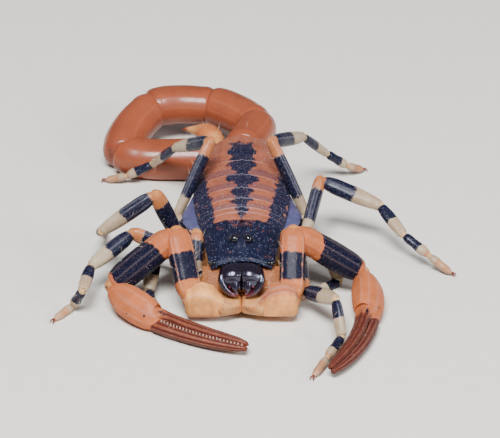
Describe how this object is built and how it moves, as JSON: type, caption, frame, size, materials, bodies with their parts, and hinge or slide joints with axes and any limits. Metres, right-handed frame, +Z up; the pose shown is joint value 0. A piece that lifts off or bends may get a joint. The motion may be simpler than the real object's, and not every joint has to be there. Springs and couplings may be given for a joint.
{
  "type": "scorpion",
  "caption": "Small bark scorpion as a still life-size model: segmented trunk, jointed legs and pincers held still, tail laid in a loop on the floor.",
  "frame": {"origin": "on the floor, under the centre of the whole animal's footprint, claws and tail loop included", "axes": "+Z up, -Y from the tail towards the head along the trunk, +X to the animal's left"},
  "size_m": [0.0272, 0.0332, 0.0068],
  "materials": {
    "shell_dark": "granular blue-black shell, satin",
    "shell_banded": "orange-brown shell with dark blue bands and spots, satin",
    "pleura": "soft grey-blue skin, smooth",
    "underside": "pale cream shell, satin",
    "jaw": "glossy red-black shell",
    "eye": "glossy black",
    "palp": "orange shell with dark blue bands, semi-gloss",
    "finger": "red-brown ridged shell, semi-gloss",
    "leg": "cream shell with dark blue bands, satin",
    "tail": "brick-red shell, semi-gloss",
    "telson": "pale orange shell, glossy"
  },
  "bodies": {
    "root": {"belly": "pleura", "carapace": "shell_dark", "chelicera_left": "jaw", "chelicera_right": "jaw", "coxosternum": "underside", "eye_left": "eye", "eye_right": "eye", "leg_left_1_femur": "leg", "leg_left_1_foot": "leg", "leg_left_1_patella": "leg", "leg_left_2_femur": "leg", "leg_left_2_foot": "leg", "leg_left_2_patella": "leg", "leg_left_3_femur": "leg", "leg_left_3_foot": "leg", "leg_left_3_patella": "leg", "leg_left_4_femur": "leg", "leg_left_4_foot": "leg", "leg_left_4_patella": "leg", "leg_right_1_femur": "leg", "leg_right_1_foot": "leg", "leg_right_1_patella": "leg", "leg_right_2_femur": "leg", "leg_right_2_foot": "leg", "leg_right_2_patella": "leg", "leg_right_3_femur": "leg", "leg_right_3_foot": "leg", "leg_right_3_patella": "leg", "leg_right_4_femur": "leg", "leg_right_4_foot": "leg", "leg_right_4_patella": "leg", "palp_left_femur": "palp", "palp_left_finger": "finger", "palp_left_hand": "palp", "palp_left_patella": "palp", "palp_left_trochanter": "palp", "palp_right_femur": "palp", "palp_right_finger": "finger", "palp_right_hand": "palp", "palp_right_patella": "palp", "palp_right_trochanter": "palp", "pecten_left": "underside", "pecten_right": "underside", "tail_1": "tail", "tail_2": "tail", "tail_3": "tail", "tail_4": "tail", "tail_5": "tail", "telson": "telson", "tergite_1": "shell_banded", "tergite_2": "shell_banded", "tergite_3": "shell_banded", "tergite_4": "shell_banded", "tergite_5": "shell_banded", "tergite_6": "shell_banded", "tergite_7": "shell_banded"}
  },
  "joints": []
}
